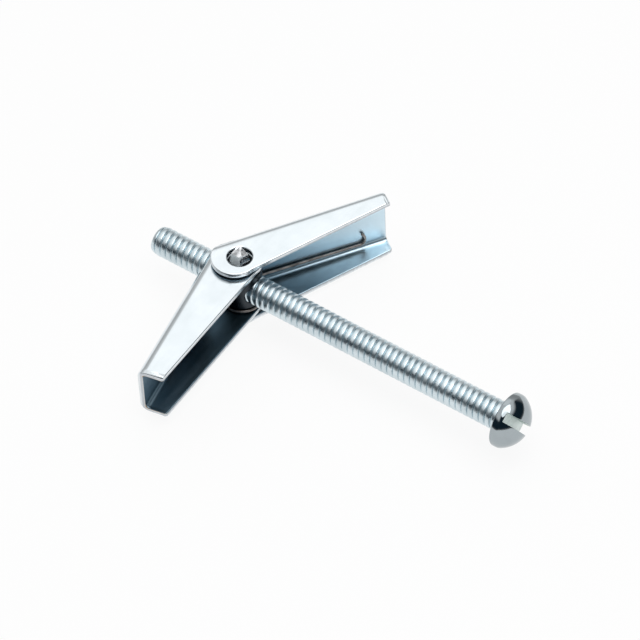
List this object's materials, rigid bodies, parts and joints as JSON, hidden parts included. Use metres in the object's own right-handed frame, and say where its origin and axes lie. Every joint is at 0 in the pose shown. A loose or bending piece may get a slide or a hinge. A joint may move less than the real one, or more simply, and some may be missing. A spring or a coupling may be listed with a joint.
{
  "type": "spring toggle bolt",
  "caption": "Slotted round-head screw through a trunnion nut with folding sheet-metal wings that a wire spring opens behind a hollow wall.",
  "frame": {"origin": "centre of the head's seat, on the screw's axis", "axes": "+X along the screw and out of the head, +Z along the wing hinge, as the bolt lies on its side"},
  "size_m": [0.0696, 0.0504, 0.0146],
  "materials": {
    "screw_zinc": "bright zinc plating on rolled steel",
    "nut_zinc": "bright zinc plating",
    "wing_zinc": "bright zinc plating on pressed sheet",
    "spring_steel": "dark drawn wire"
  },
  "bodies": {
    "nut": {"nut": "nut_zinc", "spring": "spring_steel"},
    "screw": {"screw": "screw_zinc"},
    "right_wing": {"right_wing": "wing_zinc"},
    "left_wing": {"left_wing": "wing_zinc"}
  },
  "joints": [
    {"name": "right_wing_fold", "type": "hinge", "parent": "nut", "child": "right_wing", "pos_m": [-0.0495, 0, 0], "axis": [0, 0, -1], "range_deg": [0, 57], "stiffness_Nm_per_rad": 0.004, "springref_deg": -57.3, "deforming": ["spring"]},
    {"name": "left_wing_fold", "type": "hinge", "parent": "nut", "child": "left_wing", "pos_m": [-0.0495, 0, 0], "axis": [0, 0, 1], "range_deg": [0, 79], "stiffness_Nm_per_rad": 0.004, "springref_deg": -57.3, "deforming": ["spring"]},
    {"name": "screw_turn", "type": "hinge", "parent": "nut", "child": "screw", "pos_m": [0, 0, 0], "axis": [1, 0, 0], "continuous": true}
  ]
}
